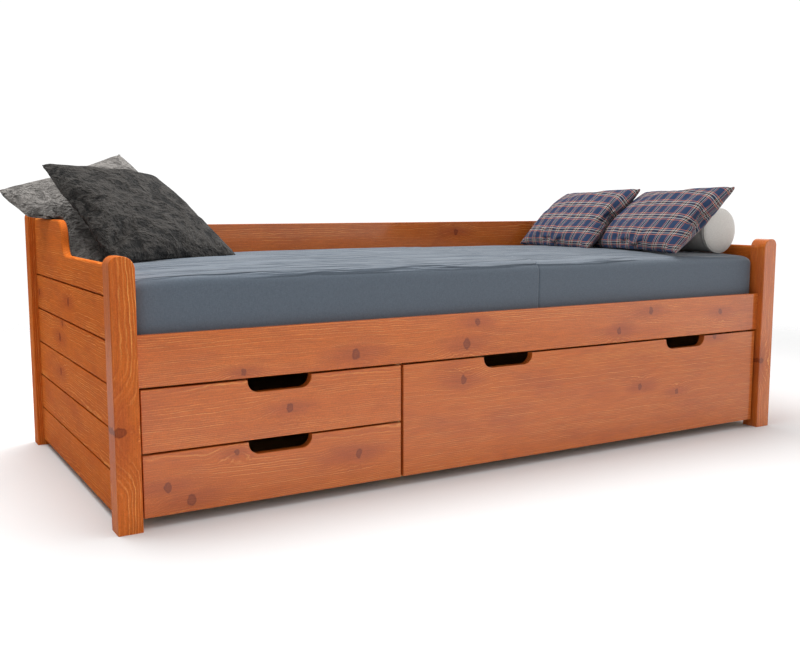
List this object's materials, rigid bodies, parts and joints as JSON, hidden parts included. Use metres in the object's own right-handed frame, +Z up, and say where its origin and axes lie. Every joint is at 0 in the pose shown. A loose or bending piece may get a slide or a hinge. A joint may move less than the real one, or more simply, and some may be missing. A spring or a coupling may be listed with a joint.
{
  "type": "storage bed",
  "caption": "Stained pine day bed with slit board ends, a raised back and drawers under the slats, dressed with a mattress, a bolster and loose cushions.",
  "frame": {"origin": "on the floor, under the middle of the wooden frame's footprint", "axes": "+X along the bed, from the end with the small drawers to the other end; +Y from the drawer fronts to the back; +Z up"},
  "size_m": [2.0963, 0.976, 0.8287],
  "materials": {
    "stained_pine": "pine stained honey brown under a satin clear lacquer",
    "raw_pine": "planed pine, not coated",
    "plywood": "sanded plywood, not coated",
    "zinc_fittings": "zinc plated",
    "strap_webbing": "woven tape",
    "mattress_cover": "blue-grey fitted cotton sheet",
    "bolster_cover": "white cotton",
    "light_grey_velvet": "crushed light grey velvet",
    "charcoal_velvet": "crushed charcoal velvet",
    "plaid_cloth": "woven navy plaid with pale and orange lines"
  },
  "bodies": {
    "frame": {"back_board_1": "stained_pine", "back_board_2": "stained_pine", "back_board_3": "stained_pine", "back_board_4": "stained_pine", "back_board_5": "stained_pine", "back_top_board": "stained_pine", "bearer_front": "raw_pine", "bearer_rear": "raw_pine", "bolster": "bolster_cover", "cam_bolts": "zinc_fittings", "cams": "zinc_fittings", "cushion_grey_dark": "charcoal_velvet", "cushion_grey_light": "light_grey_velvet", "cushion_plaid_front": "plaid_cloth", "cushion_plaid_rear": "plaid_cloth", "divider": "raw_pine", "divider_foot": "raw_pine", "end_left_board_1": "stained_pine", "end_left_board_2": "stained_pine", "end_left_board_3": "stained_pine", "end_left_board_4": "stained_pine", "end_left_board_5": "stained_pine", "end_left_top_board": "stained_pine", "end_right_board_1": "stained_pine", "end_right_board_2": "stained_pine", "end_right_board_3": "stained_pine", "end_right_board_4": "stained_pine", "end_right_board_5": "stained_pine", "end_right_top_board": "stained_pine", "front_rail": "stained_pine", "mattress": "mattress_cover", "post_front_left": "stained_pine", "post_front_right": "stained_pine", "post_rear_left": "stained_pine", "post_rear_right": "stained_pine", "runner_large_left": "raw_pine", "runner_large_right": "raw_pine", "runner_lower_left": "raw_pine", "runner_lower_middle": "raw_pine", "runner_upper_left": "raw_pine", "runner_upper_middle": "raw_pine", "slat_straps": "strap_webbing", "slats": "raw_pine"},
    "lower_drawer": {"lower_drawer_back": "raw_pine", "lower_drawer_bottom": "plywood", "lower_drawer_front": "stained_pine", "lower_drawer_side_left": "raw_pine", "lower_drawer_side_right": "raw_pine"},
    "upper_drawer": {"upper_drawer_back": "raw_pine", "upper_drawer_bottom": "plywood", "upper_drawer_front": "stained_pine", "upper_drawer_side_left": "raw_pine", "upper_drawer_side_right": "raw_pine"},
    "large_drawer": {"large_drawer_back": "raw_pine", "large_drawer_bottom_left": "plywood", "large_drawer_bottom_right": "plywood", "large_drawer_front": "stained_pine", "large_drawer_muntin": "raw_pine", "large_drawer_side_left": "raw_pine", "large_drawer_side_right": "raw_pine"}
  },
  "joints": [
    {"name": "lower_drawer_slide", "type": "slide", "parent": "frame", "child": "lower_drawer", "axis": [0, -1, 0], "range_m": [0, 0.56]},
    {"name": "upper_drawer_slide", "type": "slide", "parent": "frame", "child": "upper_drawer", "axis": [0, -1, 0], "range_m": [0, 0.56]},
    {"name": "large_drawer_slide", "type": "slide", "parent": "frame", "child": "large_drawer", "axis": [0, -1, 0], "range_m": [0, 0.56]}
  ]
}
